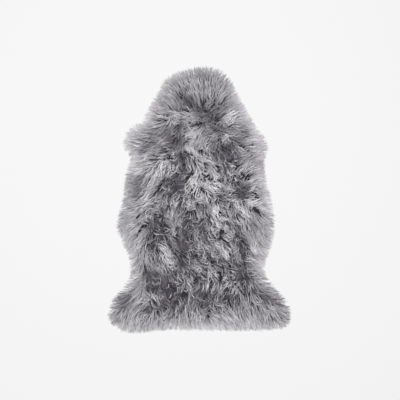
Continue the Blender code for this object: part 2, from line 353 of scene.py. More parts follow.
felted, tree, shader = finish_of("felted_roots")
place = node(tree, "ShaderNodeTexCoord", output="Object")
tufted = node(tree, "ShaderNodeTexNoise", None, {"Vector": place, "Scale": FELT_TUFTS, "Detail": 5.0})
fibre = node(tree, "ShaderNodeTexNoise", None, {"Vector": place, "Scale": FELT_FIBRES, "Detail": 2.0})
undercoat_colour_and_shade = blend(tree, tufted, UNDERCOAT_DARK_AND_SHADE, UNDERCOAT_GREY_AND_SHADE)
tree.links.new(undercoat_colour_and_shade.socket, shader.inputs["Base Color"])
relief = tufted + fibre * FELT_FIBRE_SHARE
bump = node(
    tree, "ShaderNodeBump", None, {"Strength": 0.8, "Distance": FELT_HEIGHT, "Height": relief}
)
tree.links.new(bump.socket, shader.inputs["Normal"])
shader.inputs["Roughness"].default_value = 0.95
shader.inputs["Specular IOR Level"].default_value = 0.1

undercoat = plain_object("undercoat", undercoat_mesh, felted)
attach(undercoat, "root")
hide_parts("sheepskin")

# --- The long wool --------------------------------------------------------------------------------
# Fine crimped wool about two inches long, grey at the root and silvery at the tip, with painted shade
# darkening the roots further. It grows in wisps, the wisps gather into pointed locks, and each lock lies
# over the roots of the next one downhill.

# How the wool lies, as judged, in millimetres and degrees: x, y, which way the tips point, counted
# from +X towards +Y, and the tone, in tenths, from about -17 for the darkest parting to 12 for a silvery
# tuft.
# The tone is partly the fleece's own and partly painted: painted shade in the dark partings, and painted
# light on silvery tufts that lie flat.
LIE = (
    # The neck.
    (-80, 432, 125, 0), (-30, 436, 112, -1), (14, 448, 95, -3), (58, 438, 72, 0), (92, 416, 55, 0),
    (-116, 398, 130, 0), (-58, 398, 125, -5), (-14, 396, 108, 2), (28, 396, 92, 0), (64, 392, 68, -1),
    (102, 388, 42, 0), (130, 362, 35, 3), (-92, 368, 130, -3), (-134, 352, 155, -1), (-44, 358, 125, -6),
    (-70, 378, 128, -6), (-104, 344, 142, -4), (-6, 366, 100, 2), (32, 366, 85, 0), (66, 360, 62, 0),
    (104, 348, 38, -2), (150, 326, 42, 4), (-156, 322, 165, 3), (-124, 326, 150, -3), (-82, 336, 135, -1),
    (-78, 306, 150, 4), (-46, 314, 145, 5), (-20, 330, 112, -3), (14, 334, 92, -4), (44, 334, 62, -3),
    (70, 326, 45, -5), (96, 332, 38, -5), (124, 312, 30, 7), (0, 306, 160, -4), (30, 308, 200, -6),
    (56, 302, 10, -5), (30, 282, 240, -4), (84, 284, 48, 1), (68, 276, 52, -3), (160, 294, 18, 5),
    (128, 282, 15, 5),
    # The left shoulder and the ear.
    (-152, 290, 184, 3), (-186, 296, 178, 4), (-126, 286, 212, 2), (-164, 262, 198, 0),
    (-112, 262, 228, -2), (-56, 262, 235, -2), (-34, 288, 195, 2), (-6, 272, 230, 3), (-20, 246, 226, 7),
    (8, 234, 222, 2), (-36, 218, 215, 5), (-14, 206, 215, 4), (2, 182, 262, 2), (20, 256, 228, -1),
    (-90, 240, 235, -4), (-76, 214, 240, -6), (-118, 222, 215, -6), (-104, 202, 200, -7),
    (-88, 190, 220, -6), (-136, 198, 182, -3), (-112, 172, 130, -1), (-174, 186, 214, -3),
    (-150, 232, 200, -5), (-190, 216, 190, -8), (-214, 238, 165, -2), (-236, 256, 150, 5),
    (-250, 216, 185, 5), (-246, 188, 214, 3), (-210, 184, 200, -5), (-178, 160, 196, -1),
    (-236, 140, 198, 3), (-172, 226, 190, -6), (-120, 248, 222, -5),
    # The right shoulder.
    (150, 262, 5, -3), (196, 262, 0, 5), (122, 250, 355, -3), (92, 252, 335, -5), (44, 236, 228, -1),
    (66, 236, 270, -5), (96, 226, 325, 6), (122, 218, 335, 4), (60, 208, 240, -2), (166, 238, 352, -5),
    (206, 226, 352, 4), (120, 186, 315, -7), (88, 186, 320, -3), (108, 160, 318, -10), (150, 172, 46, -2),
    (172, 190, 35, -1), (206, 194, 0, 3), (176, 160, 36, -3), (218, 172, 345, 4), (80, 152, 300, -9),
    (126, 144, 20, -7), (146, 210, 350, -5), (100, 138, 300, -9), (62, 176, 290, -3), (132, 168, 330, -6),
    # The two rosettes in the middle of the back, and what lies round them.
    (-112, 142, 150, 2), (-134, 124, 215, 9), (-110, 110, 240, 4), (-160, 140, 192, -1),
    (-196, 120, 212, 0), (-150, 104, 226, 7), (-128, 92, 232, 5), (-230, 104, 205, 3),
    (-78, 176, 265, -5), (-66, 136, 268, -7), (-66, 96, 262, -7), (-76, 64, 230, -7), (-40, 178, 318, 3),
    (-14, 158, 312, 3), (-30, 128, 285, 3), (0, 122, 290, 3), (22, 146, 318, 2), (40, 120, 318, 3),
    (54, 98, 310, 2), (70, 124, 300, -4), (8, 88, 270, 2), (-20, 74, 216, 7), (-46, 54, 214, 9),
    (34, 74, 315, 10), (58, 50, 315, 11), (14, 50, 268, 12), (-14, 42, 250, 11), (28, 26, 300, 12),
    (46, 62, 318, 11), (-40, 34, 222, 6), (64, 32, 318, 7), (2, 22, 268, 9), (-74, 42, 212, -13),
    (-98, 48, 240, -11), (-120, 62, 235, -7), (-136, 44, 240, -4), (-92, 28, 230, -11),
    (-114, 34, 238, -9), (86, 96, 290, -4), (88, 74, 285, -5), (110, 74, 232, -1), (124, 104, 82, 1),
    (134, 132, 75, -1), (160, 112, 42, 4), (200, 112, 28, 4), (192, 88, 22, 3), (150, 76, 28, 0),
    (142, 46, 0, -8), (168, 52, 12, -9), (176, 30, 10, -11), (150, 26, 355, -11), (224, 62, 38, 5),
    (204, 18, 12, 6), (240, 8, 355, 5),
    # The left flank.
    (-166, 88, 230, 4), (-184, 48, 233, 1), (-206, 74, 222, 1), (-246, 62, 175, -3), (-226, 42, 190, -9),
    (-236, 26, 195, -6), (-250, 0, 182, -1), (-216, 8, 212, -1), (-166, 20, 222, 2), (-262, -24, 212, 0),
    (-194, -8, 208, 3), (-160, -16, 205, 3), (-196, -44, 205, 2), (-232, -52, 215, 0),
    (-272, -62, 215, 0), (-222, -92, 228, 0), (-286, -98, 220, 0), (-262, -128, 228, 1),
    (-212, -132, 250, 0), (-222, -166, 262, 1), (-246, -186, 205, 2),
    # The curls below the rosettes.
    (-64, 14, 228, -1), (-92, 0, 225, 1), (-108, -20, 262, 0), (-132, -30, 262, -4), (-96, -52, 288, 1),
    (-36, 14, 300, -5), (-30, -22, 318, 6), (-62, -14, 232, -1), (4, -20, 300, -2), (20, -48, 300, -2),
    (-66, -50, 250, 0), (-30, -52, 235, -3), (-36, -88, 220, -13), (-4, -70, 250, -1), (8, -94, 260, -4),
    (-54, -104, 240, -11), (-14, -104, 250, -11), (50, -4, 300, 0), (88, 8, 340, -7), (78, 26, 340, -3),
    (116, 18, 20, -1), (120, -8, 300, 1), (60, -44, 300, 10), (84, -34, 315, 5), (118, -56, 290, 0),
    (62, -78, 300, 5), (44, -108, 310, 4), (70, -58, 305, 9),
    # The dark patch on the left, and the silvery tuft that runs down beside it.
    (-150, -58, 300, -7), (-180, -80, 235, -3), (-138, -80, 300, -11), (-160, -104, 300, -10),
    (-134, -112, 318, -11), (-150, -134, 300, -9), (-172, -138, 290, -9), (-160, -164, 276, -11),
    (-164, -186, 280, -9), (-116, -138, 300, -3), (-84, -96, 290, 1), (-76, -132, 292, 0),
    (-108, -84, 290, -4), (-126, -172, 300, 7), (-140, -204, 292, 6), (-122, -204, 302, 6),
    (-108, -228, 316, 4), (-190, -194, 280, -2), (-180, -226, 300, -2), (-154, -226, 300, -1),
    (-212, -220, 255, 0), (-240, -232, 205, 1), (-92, -172, 300, -7), (-106, -188, 300, 2),
    # The middle of the back, down to the waist.
    (-42, -130, 285, -3), (-12, -136, 270, -2), (20, -124, 275, -2), (-70, -160, 305, -12),
    (-50, -172, 315, -13), (-26, -184, 320, -13), (-78, -196, 300, -5), (-26, -210, 335, 0),
    (6, -218, 340, -4), (-14, -236, 322, -3), (-74, -230, 300, -7), (-56, -250, 325, -8),
    (-36, -246, 340, -4), (14, -172, 310, 1), (44, -178, 275, -2), (44, -146, 300, 0), (76, -134, 315, 2),
    (92, -160, 305, 6), (90, -188, 290, 6), (106, -128, 305, 0), (40, -214, 330, -4), (74, -222, 340, -3),
    (30, -238, 320, -3), (8, -262, 305, -2), (36, -262, 285, 9), (-12, -276, 262, 0), (74, -254, 300, -3),
    (104, -236, 300, -5), (-86, -262, 318, -6),
    # The right flank.
    (150, -26, 300, 4), (178, -10, 328, 4), (174, -34, 305, 7), (200, -20, 322, 7), (234, -32, 325, 5),
    (168, -72, 292, 3), (196, -66, 298, -1), (142, -66, 280, -1), (196, -96, 300, -7), (240, -84, 308, 2),
    (256, -116, 305, 3), (134, -100, 280, -6), (164, -104, 290, 2), (190, -138, 275, -1),
    (222, -138, 308, 3), (148, -138, 300, -10), (170, -168, 315, -5), (122, -172, 290, -4),
    (214, -182, 335, 4), (240, -190, 338, 4), (152, -176, 290, -9), (152, -204, 285, -9),
    (190, -210, 318, 2), (222, -232, 318, 4), (128, -216, 285, -6), (200, -250, 318, 3),
    (164, -232, 290, -11),
    # The left hind leg.
    (-238, -266, 200, 0), (-212, -262, 230, 0), (-222, -298, 215, 1), (-262, -312, 205, 1),
    (-188, -268, 310, -11), (-158, -262, 320, -7), (-150, -284, 280, -14), (-122, -280, 270, -10),
    (-178, -296, 305, -14), (-104, -292, 290, -11), (-132, -312, 300, -15), (-104, -320, 265, -17),
    (-78, -334, 250, -16), (-154, -312, 300, -16), (-120, -338, 290, -15), (-100, -356, 255, -14),
    (-88, -374, 245, -9), (-182, -326, 310, -8), (-212, -334, 232, -2), (-172, -352, 308, 1),
    (-146, -358, 315, 1), (-250, -338, 215, -2), (-284, -346, 208, -4), (-276, -366, 218, -9),
    (-214, -366, 238, 3), (-286, -384, 222, -6), (-240, -388, 246, -2), (-302, -396, 212, -2),
    (-262, -408, 252, -2), (-308, -424, 220, -1), (-284, -442, 245, 0), (-252, -446, 262, 1),
    (-216, -418, 228, -3), (-190, -396, 222, -6), (-204, -438, 242, 0), (-166, -428, 240, 2),
    (-150, -392, 300, -5), (-128, -384, 290, -9), (-128, -428, 246, 0), (-104, -398, 255, -6),
    # The tail edge.
    (-44, -310, 270, 1), (-42, -338, 272, 4), (-62, -374, 255, -5), (-84, -396, 250, -7),
    (-42, -390, 272, -4), (-20, -372, 290, -5), (-74, -434, 258, 2), (-30, -432, 270, 1),
    (4, -314, 260, -7), (8, -340, 285, -7), (24, -356, 290, -8), (10, -384, 292, -11),
    (30, -390, 305, -8), (16, -436, 290, 2), (46, -420, 315, 0), (56, -362, 260, -5), (58, -388, 312, -5),
    (40, -330, 255, -4), (92, -410, 318, -1), (90, -352, 262, -9), (108, -440, 312, 3),
    (-14, -290, 270, -4), (60, -444, 306, 4),
    # The right hind leg.
    (120, -280, 235, -10), (94, -312, 232, 9), (66, -296, 240, -4), (62, -322, 245, -1),
    (124, -320, 245, 4), (148, -262, 290, -15), (166, -256, 300, -15), (182, -278, 312, -14),
    (160, -286, 300, -15), (150, -304, 290, -9), (216, -282, 322, 2), (178, -308, 308, -8),
    (196, -326, 312, -6), (172, -334, 300, -5), (226, -312, 330, 1), (262, -328, 338, 1),
    (232, -342, 325, -9), (254, -358, 335, -7), (128, -358, 260, -8), (148, -352, 275, -2),
    (170, -366, 280, 0), (140, -390, 285, -3), (206, -360, 312, -3), (282, -366, 340, 0),
    (306, -396, 328, -1), (274, -402, 315, 0), (206, -396, 302, -3), (176, -400, 302, -2),
    (148, -418, 300, -1), (188, -434, 302, 1), (228, -424, 285, -1), (256, -432, 292, -1),
    (292, -430, 312, -1),
)

# How far round each row its heading and its tone are felt. Between the rows tones fade to plain grey.
LIE_BLEND = 21 * MM
RIM_LIE_BLEND = 34 * MM
RIM_LIE_DEPTH = (30 * MM, 75 * MM)
LEAST_PULL = 1e-9
TONE_BLEND = 17 * MM
TONE_FADE = 0.25
TENTHS = 10

# The wool parts where headings disagree, and where they fan out by so many radians for each metre.
FANNED_OUT = (8.0, 34.0)
FANNED_SHARE = 0.8
FANNED_ROUNDS = 4

# It is most unruly in the middle of the back and at the waist, and calm on the neck, legs and rim.
UNRULY_DEPTH = (60 * MM, 140 * MM)
CALM_NECK = (120 * MM, 280 * MM)
CALM_NECK_SHARE = 0.8
LEGS = (-320 * MM, -400 * MM)
CALM_LEGS_SHARE = 0.6
CALM_TAIL = (-320 * MM, -420 * MM)

# Where its tone is darkest the wool is murky: short, and curling every way.
MURKY_TONES = (0.30, 0.85)

# Near the rim it turns outwards.
TURNED_OUT_DEPTH = (5 * MM, 60 * MM)
TURNED_OUT_SHARE = 0.60
LEAST_OUTWARD = 0.3

# The maps of the lie and of the tone.
random = np.random.default_rng(20)
flat_places = map_places.reshape(-1, 2)
lie_rows = np.array(LIE, float)
apart = ((flat_places[:, None] - lie_rows[None, :, :2] * MM) ** 2).sum(axis=-1)
headings = np.radians(lie_rows[:, 2])
ways_given = np.column_stack([np.cos(headings), np.sin(headings)])
lie_maps = []
for blending in (LIE_BLEND, RIM_LIE_BLEND):
    pull = np.exp(-apart / blending**2) + LEAST_PULL
    mean_way = (pull @ ways_given) / pull.sum(axis=1)[:, None]
    lie_maps.append(mean_way.reshape(*map_places.shape[:2], 2))
at_rim = (1.0 - eased(*RIM_LIE_DEPTH, depth_map))[..., None]
lie_map = lie_maps[0] * (1.0 - at_rim) + lie_maps[1] * at_rim
accord = np.linalg.norm(lie_map, axis=-1)
lie_map /= accord[..., None]
fanning = np.gradient(lie_map[..., 0], MAP_PITCH, axis=0)
fanning = smoothed(fanning + np.gradient(lie_map[..., 1], MAP_PITCH, axis=1), FANNED_ROUNDS)
parting_map = np.maximum(1.0 - accord, FANNED_SHARE * eased(*FANNED_OUT, fanning))
# The tone map: the fleece's own tone, with painted shade in the partings and painted light on flat tufts.
pull = np.exp(-apart / TONE_BLEND**2)
tone_and_painted_light_map = (pull @ lie_rows[:, 3]) / TENTHS / (pull.sum(axis=1) + TONE_FADE)
tone_and_painted_light_map = tone_and_painted_light_map.reshape(map_places.shape[:2])

unruly_map = eased(*UNRULY_DEPTH, depth_map)
unruly_map = unruly_map * (1.0 - CALM_NECK_SHARE * eased(*CALM_NECK, map_places[..., 1]))
unruly_map = unruly_map * (1.0 - CALM_LEGS_SHARE * eased(*LEGS, map_places[..., 1]))
murk_map = eased(*MURKY_TONES, -tone_and_painted_light_map)

outward_unit = np.maximum(np.linalg.norm(outward_map, axis=-1), LEAST_OUTWARD)
outward_unit = outward_map / outward_unit[..., None]
turn_out = TURNED_OUT_SHARE * (1.0 - eased(*TURNED_OUT_DEPTH, depth_map))
lie_map = lie_map * (1.0 - turn_out[..., None]) + outward_unit * turn_out[..., None]

# How far apart the locks, wisps, edge wisps and loose curls stand, and how unevenly.
ROW_SHARE = 0.87
LOCK_PITCH = 24 * MM
LOCK_JITTER = 0.32
LOCK_INSET = 20 * MM
WISP_PITCH = 6.30 * MM
WISP_JITTER = 0.35
WISP_INSET = PELT_INSET - 3 * MM
EDGE_WISP_PITCH = 5.3 * MM
EDGE_BAND = 14 * MM
CURL_PITCH = 6.0 * MM
LOOSE_JITTER = 0.45
CURL_PARTING = 0.60
CURL_LENGTH_SHARE = 0.62
CURL_BEND = math.radians(50)

# How far locks and wisps stray from the lie of the wool, in degrees: everywhere, added where it is
# unruly, and added where it is what the end of the line says.
LOCK_TURN = (4, 10, 40, 30)  # parted, murky
LOCK_ARC = (11, 31, 10)  # murky
LOCK_BEND = (8, 22, 10)  # murky
LOCK_PARTING_DEPTH = (40 * MM, 80 * MM)
WISP_BEND = (7, 8, 18)  # murky
WISP_TURN = (5, 5, 22, 5)  # murky, at the edge
WISP_ARC = (4, 8)
TIP_BEND_SHARE = 0.4
FREE_AT_EDGE = 0.8
AT_EDGE = (PELT_INSET, PELT_INSET + 40 * MM)

# How long the wool is, in locks and in wisps, and where it is shorter or longer.
WOOL_LENGTH = 49 * MM
LOCK_LENGTHS = (0.85, 1.15)
WISP_LENGTHS = (0.85, 1.12)
UNRULY_SHORTENING = 0.15
MURKY_SHORTENING = 0.25
PARTED_SHORTENING = 0.32
PARTED = (0.10, 0.55)
FLANK_LENGTHENING = 0.22
NECK_SHORTENING = 0.15
SHORT_NECK = (150 * MM, 300 * MM)
EDGE_LENGTHENING = 0.6
LONG_EDGE = (PELT_INSET + 4 * MM, PELT_INSET + 24 * MM)

# How much of the crimp a lock has, and how far its shade differs from its neighbours'.
LOCK_CRIMPS = (0.5, 1.35)
LOCK_SHADES = 0.04


def uneven_lattice(pitch, jitter, least_depth):
    """Places in staggered rows, each moved a little, inside the reach by at least that depth."""
    columns = np.arange(MAP_LOW[0], -MAP_LOW[0], pitch)
    rows = np.arange(MAP_LOW[1], -MAP_LOW[1], pitch * ROW_SHARE)
    x, y = np.meshgrid(columns, rows, indexing="ij")
    x = x + (np.arange(len(rows)) % 2) * pitch / 2
    places = np.column_stack([x.ravel(), y.ravel()])
    places = places + random.uniform(-jitter, jitter, places.shape) * pitch
    return places[read_map(depth_map, places) > least_depth]


def strayed(degrees, *shares):
    """Random angles in radians. Their spread is the first angle, plus each further one by its share."""
    spread = degrees[0]
    for more, share in zip(degrees[1:], shares):
        spread = spread + more * share
    return random.normal(0.0, 1.0, len(shares[0])) * np.radians(spread)


def turned(vectors, angles):
    """The flat vectors turned by the angles, counterclockwise."""
    cos, sin = np.cos(angles), np.sin(angles)
    x, y = vectors[:, 0], vectors[:, 1]
    return np.column_stack([x * cos - y * sin, x * sin + y * cos])


def followed(start, stride, turns):
    """The four places a wisp passes from its root to its tip, following the lie of the wool."""
    places = [start]
    for turn in turns:
        way = read_map(lie_map, places[-1])
        way = way / np.maximum(np.linalg.norm(way, axis=1), TINY)[:, None]
        places.append(places[-1] + turned(way, turn) * stride[:, None])
    return places


def nearest(points, others):
    """Which of the others lies nearest to each point."""
    found = []
    for some in np.array_split(points, max(1, len(points) // POINTS_AT_ONCE)):
        found.append(((some[:, None] - others[None]) ** 2).sum(axis=-1).argmin(axis=1))
    return np.concatenate(found)


# The locks.
locks = uneven_lattice(LOCK_PITCH, LOCK_JITTER, LOCK_INSET)
lock_depth = read_map(depth_map, locks)
unruly = read_map(unruly_map, locks)
lock_parting = read_map(parting_map, locks)
lock_murk = read_map(murk_map, locks)
lock_parting = lock_parting * eased(*LOCK_PARTING_DEPTH, lock_depth)
lock_turn = strayed(LOCK_TURN, unruly, lock_parting, lock_murk)
lock_arc = strayed(LOCK_ARC, unruly, lock_murk)
lock_bend = strayed(LOCK_BEND, unruly, lock_murk)
lock_phase = random.uniform(0.0, 2 * math.pi, len(locks))
lock_crimp = random.uniform(*LOCK_CRIMPS, len(locks))
lock_shade = random.normal(0.0, LOCK_SHADES, len(locks))
lock_lift = random.uniform(-1.0, 1.0, len(locks))
lock_stride = WOOL_LENGTH / 3 * random.uniform(*LOCK_LENGTHS, len(locks))
lock_stride = lock_stride * (1.0 - UNRULY_SHORTENING * unruly)
lock_turns = [lock_turn - lock_arc - lock_bend, lock_turn + lock_bend, lock_turn + lock_arc]
lock_ways = followed(locks, lock_stride, lock_turns)

# The wisps of each lock: how far inside the reach their tips end, and how one that would pass it is
# shortened, step by step.
TIP_SPREAD = 12 * MM
TIPS_BEYOND = 6 * MM
TAIL_TIP_DEPTH = 4 * MM
TRIMMED_TAIL = (-380 * MM, -430 * MM)
TRIM_ROUNDS = 20
TRIM_SHARE = 0.93

# Lower and upper layers of wisps: half of them lie in the lower one. Curls lie between.
LAYER_SPLIT = 0.5
LAYER_DEPTH = 0.6
UPPER_LAYER = 0.4
CURL_LAYER = 0.55

# How a lock gathers its wisps from root to tip.
LOCK_GATHER = 0.14
GATHER_SHARES = (0.0, 0.3, 0.7, 1.0)
GATHERED_DEPTH = (PELT_INSET, PELT_INSET + 14 * MM)

# They stand in uneven rows. More of them stand near the edge, and the loose curls come last.
wisps = uneven_lattice(WISP_PITCH, WISP_JITTER, WISP_INSET)
edge_wisps = uneven_lattice(EDGE_WISP_PITCH, LOOSE_JITTER, WISP_INSET)
edge_wisps = edge_wisps[read_map(depth_map, edge_wisps) < PELT_INSET + EDGE_BAND]
curls = uneven_lattice(CURL_PITCH, LOOSE_JITTER, PELT_INSET + EDGE_BAND)
curls = curls[read_map(parting_map, curls) > CURL_PARTING]
first_curl = len(wisps) + len(edge_wisps)
wisps = np.concatenate([wisps, edge_wisps, curls])
count = len(wisps)
is_curl = np.arange(count) >= first_curl
wisp_y = wisps[:, 1]
lock_of = nearest(wisps, locks)
wisp_depth = read_map(depth_map, wisps)
unruly = read_map(unruly_map, wisps)
calm = eased(*CALM_NECK, wisp_y) + eased(*CALM_TAIL, wisp_y)
murk = read_map(murk_map, wisps)
at_edge = 1.0 - eased(*AT_EDGE, wisp_depth)
with_lock = 1.0 - FREE_AT_EDGE * at_edge
bend = strayed(WISP_BEND, unruly, murk) + lock_bend[lock_of] * with_lock
turn = strayed(WISP_TURN, unruly, murk, at_edge) + lock_turn[lock_of] * with_lock
stride = lock_stride[lock_of] * random.uniform(*WISP_LENGTHS, count)
stride = stride * (1.0 - MURKY_SHORTENING * murk)
parted = eased(*PARTED, read_map(parting_map, wisps))
stride = stride * (1.0 - PARTED_SHORTENING * parted * (1.0 - at_edge))
stride = stride * (1.0 + FLANK_LENGTHENING * (1.0 - unruly) * (1.0 - calm))
stride = stride * (1.0 - NECK_SHORTENING * eased(*SHORT_NECK, wisp_y))
stride = np.where(is_curl, stride * CURL_LENGTH_SHARE, stride)
turn = np.where(is_curl, random.uniform(-math.pi, math.pi, count), turn)
bend = np.where(is_curl, random.uniform(-1.0, 1.0, count) * CURL_BEND, bend)
arc = lock_arc[lock_of] * with_lock + strayed(WISP_ARC, unruly)
stride = stride * (1.0 + EDGE_LENGTHENING * (1.0 - eased(*LONG_EDGE, wisp_depth)))
tip_depth = random.uniform(0.0, 1.0, count) ** 2 * TIP_SPREAD - TIPS_BEYOND
tip_depth = tip_depth + TAIL_TIP_DEPTH * eased(*TRIMMED_TAIL, wisp_y)
wisp_layer = random.uniform(0.0, 1.0, count)
lower_layer = wisp_layer * LAYER_DEPTH
wisp_layer = np.where(wisp_layer < LAYER_SPLIT, lower_layer, UPPER_LAYER + lower_layer)
wisp_layer = np.where(is_curl, CURL_LAYER, wisp_layer)
for _ in range(TRIM_ROUNDS):
    ways = followed(wisps, stride, [turn - arc - bend, turn + bend, turn + arc + bend * TIP_BEND_SHARE])
    too_far = read_map(depth_map, ways[3]) < tip_depth
    stride = np.where(too_far, stride * TRIM_SHARE, stride)
inwards = eased(*GATHERED_DEPTH, wisp_depth)
for k in (1, 2, 3):
    share = (GATHER_SHARES[k] * LOCK_GATHER * inwards)[:, None]
    ways[k] = ways[k] * (1.0 - share) + lock_ways[k][lock_of] * share

# The strands of a wisp: how far they stand apart, and how they grow out of line.
STRANDS_IN_WISP = 2
WISP_ROOT_SPREAD = 2.0 * MM
WISP_TIP_SPREAD = 0.6 * MM
INNERMOST = 0.05
OUT_OF_LINE = (-0.12, 0.06)
LOOSENESS = 1.15
UPPER_TIGHTER = 0.5
UNRULY_TIGHTER = 0.25
CALM_LOOSER = 0.3
EDGE_LOOSER = 0.5 * MM

# How high a strand passes, in shares of the wool's height at its root, at two places on its way and at
# its tip, and how its layer and its lock raise it.
ROOT_HEIGHT_SHARE = 0.30
ON_THE_WAY_SHARES = (0.94, 1.08)
TIP_DROP = 0.08
TIP_UNEVENNESS = 2 * MM
LOWEST_RAISED = 0.70
LAYER_RAISED = 0.34
LOCK_RAISED = 0.05
MURKY_SUNK = 0.10
OWN_LAYER_SHARE = 0.2
TIP_OUT_DEPTH = (0.0, 30 * MM)
TIP_OUT_SUNK = 0.4
STRAND_HEIGHTS = (1.5 * MM, 74 * MM)

strand_of = np.repeat(np.arange(count), STRANDS_IN_WISP)
total = len(strand_of)
spin = random.uniform(0.0, 2 * math.pi, total)
ring_share = np.sqrt(random.uniform(INNERMOST, 1.0, total))
ring = np.column_stack([np.cos(spin), np.sin(spin)]) * ring_share[:, None]
reach_out = random.uniform(*OUT_OF_LINE, total)
looseness = LOOSENESS - UPPER_TIGHTER * wisp_layer - UNRULY_TIGHTER * unruly + CALM_LOOSER * calm
controls = []
for k, spread in enumerate(np.linspace(WISP_ROOT_SPREAD, WISP_TIP_SPREAD, 4)):
    onward = (ways[3] - ways[0])[strand_of] * (reach_out * k / 3)[:, None]
    loose = (spread * looseness + EDGE_LOOSER * at_edge * k)[strand_of]
    controls.append(ways[k][strand_of] + ring * loose[:, None] + onward)
layer = (1.0 - OWN_LAYER_SHARE) * wisp_layer[strand_of]
layer = layer + OWN_LAYER_SHARE * random.uniform(0.0, 1.0, total)
raised = LOWEST_RAISED + LAYER_RAISED * layer + LOCK_RAISED * lock_lift[lock_of][strand_of]
raised = raised - MURKY_SUNK * murk[strand_of]
heights = [read_map(height_map, place) for place in controls]
unevenness = random.uniform(-TIP_UNEVENNESS, TIP_UNEVENNESS, total)
heights[0] = heights[0] * ROOT_HEIGHT_SHARE
heights[1] = heights[1] * raised * ON_THE_WAY_SHARES[0]
heights[2] = heights[2] * raised * ON_THE_WAY_SHARES[1]
heights[3] = heights[3] * (raised - TIP_DROP) + unevenness
tip_out = 1.0 - eased(*TIP_OUT_DEPTH, read_map(depth_map, controls[3]))
heights[3] = heights[3] * (1.0 - TIP_OUT_SUNK * tip_out)
controls = [
    np.column_stack([place, np.clip(high, *STRAND_HEIGHTS)]) for place, high in zip(controls, heights)
]

# A strand's shade runs from 0 for dark to 1 for silvery. The tone sets it, and locks, wisps, strands and
# layers vary it. Painted light makes the wool pale round the rim and along the tail, but for a painted
# soft shadow at the edge.
MEAN_SHADE = 0.318
NECK_SHADE = 0.02
TONE_SHADE = 0.68
DARKEST_MEAN = -0.34
WISP_SHADES = 0.16
STRAND_SHADES = 0.13
# The lower layer's darker shade is painted shade between the wisps.
LAYER_PAINTED_SHADE = 0.42
PAINTED_RIM_LIGHT = 0.215
PAINTED_RIM_LIGHT_DEPTH = (70 * MM, 150 * MM)
EDGE_SHADOW = 0.13
EDGE_SHADOW_DEPTH = (36 * MM, 64 * MM)
PAINTED_TAIL_LIGHT = 0.20
PAINTED_TAIL_LIGHT_ENDS = (-405 * MM, -450 * MM)
SHADE_LIMITS = (0.02, 0.98)

# How vivid these differences are: everywhere, and more or less in some places.
VIVID = 0.63
UNRULY_VIVID = 0.68
MURKY_VIVID = 1.0
NECK_DULL = 0.27
NECK = (160 * MM, 300 * MM)
WAIST_VIVID = 0.16
WAIST = (-110 * MM, -170 * MM)
LEGS_VIVID = 0.32

strand_depth = wisp_depth[strand_of]
# Painted light round the rim and at the tail ends, and a painted shadow at the edge.
painted_rim_light_and_shade = PAINTED_RIM_LIGHT * (1.0 - eased(*PAINTED_RIM_LIGHT_DEPTH, strand_depth))
painted_rim_light_and_shade = painted_rim_light_and_shade - EDGE_SHADOW * (1.0 - eased(*EDGE_SHADOW_DEPTH, strand_depth))
painted_rim_light_and_shade = painted_rim_light_and_shade + PAINTED_TAIL_LIGHT * eased(*PAINTED_TAIL_LIGHT_ENDS, controls[2][:, 1])
on_neck = eased(*NECK, wisp_y)
on_legs = eased(*LEGS, wisp_y)
on_waist = eased(*WAIST, wisp_y) * (1.0 - on_legs)
vivid = VIVID + UNRULY_VIVID * unruly**2 + MURKY_VIVID * murk
vivid = (vivid - NECK_DULL * on_neck + WAIST_VIVID * on_waist + LEGS_VIVID * on_legs)[strand_of]
tone_and_painted_light = read_map(tone_and_painted_light_map, (ways[2] + ways[3]) / 2)
mean_shade = MEAN_SHADE + NECK_SHADE * on_neck + TONE_SHADE * tone_and_painted_light
shade = (
    np.maximum(mean_shade, DARKEST_MEAN)[strand_of]
    + lock_shade[lock_of][strand_of]
    + vivid * random.normal(0.0, WISP_SHADES, count)[strand_of]
    + vivid * random.normal(0.0, STRAND_SHADES, total)
    + vivid * LAYER_PAINTED_SHADE * (layer - 0.5)
    + painted_rim_light_and_shade
)
shade = np.clip(shade, *SHADE_LIMITS)

# The strand itself: crimped in even waves, thick in the lower layer and fine at its tip.
STRAND_GIRTH = 2.6 * MM
GIRTHS = (0.8, 1.2)
LOWEST_GIRTH = 1.25
UPPER_FINER = 0.4
EDGE_FINER = 0.28
STRAND_POINTS = 7
STRAND_SIDES = 3
TIP_SHARE = 0.35
CRIMP_WAVES = 1.65
CRIMP_SIZE = 2.8 * MM
WISP_CRIMPS = (0.8, 1.15)
EDGE_STRAIGHTER = 0.55
CRIMP_DRIFT = 0.25

girth = STRAND_GIRTH * random.uniform(*GIRTHS, total) * (LOWEST_GIRTH - UPPER_FINER * layer)
girth = girth * (1.0 - EDGE_FINER * at_edge[strand_of])
crimp = turned(controls[3][:, :2] - controls[0][:, :2], math.pi / 2)
crimp /= np.maximum(np.linalg.norm(crimp, axis=1), TINY)[:, None]
crimp_size = CRIMP_SIZE * lock_crimp[lock_of] * (1.0 - EDGE_STRAIGHTER * at_edge)
crimp *= (crimp_size * random.uniform(*WISP_CRIMPS, count))[strand_of][:, None]
crimp = np.column_stack([crimp, np.zeros(total)])
# The strands of a lock wave together: each starts its wave where it stands in the lock.
lock_way = lock_ways[3] - lock_ways[0]
lock_length = np.maximum(np.linalg.norm(lock_way, axis=1), TINY)
lock_way = lock_way / lock_length[:, None]
ahead = ((wisps - locks[lock_of]) * lock_way[lock_of]).sum(axis=1)
phase = lock_phase[lock_of] + 2 * math.pi * CRIMP_WAVES * ahead / lock_length[lock_of]
phase = (phase + random.normal(0.0, CRIMP_DRIFT, count))[strand_of]

# Where a strand lies on the map of shade and length: the start and the span of its shade and of its
# length, and how far its girth spreads it. The shade it carries is the wool's own tone with painted light
# and shade.
DYE_SHADES = (0.01, 0.98)
DYE_LENGTHS = (0.02, 0.96)
DYE_GIRTH = 0.003

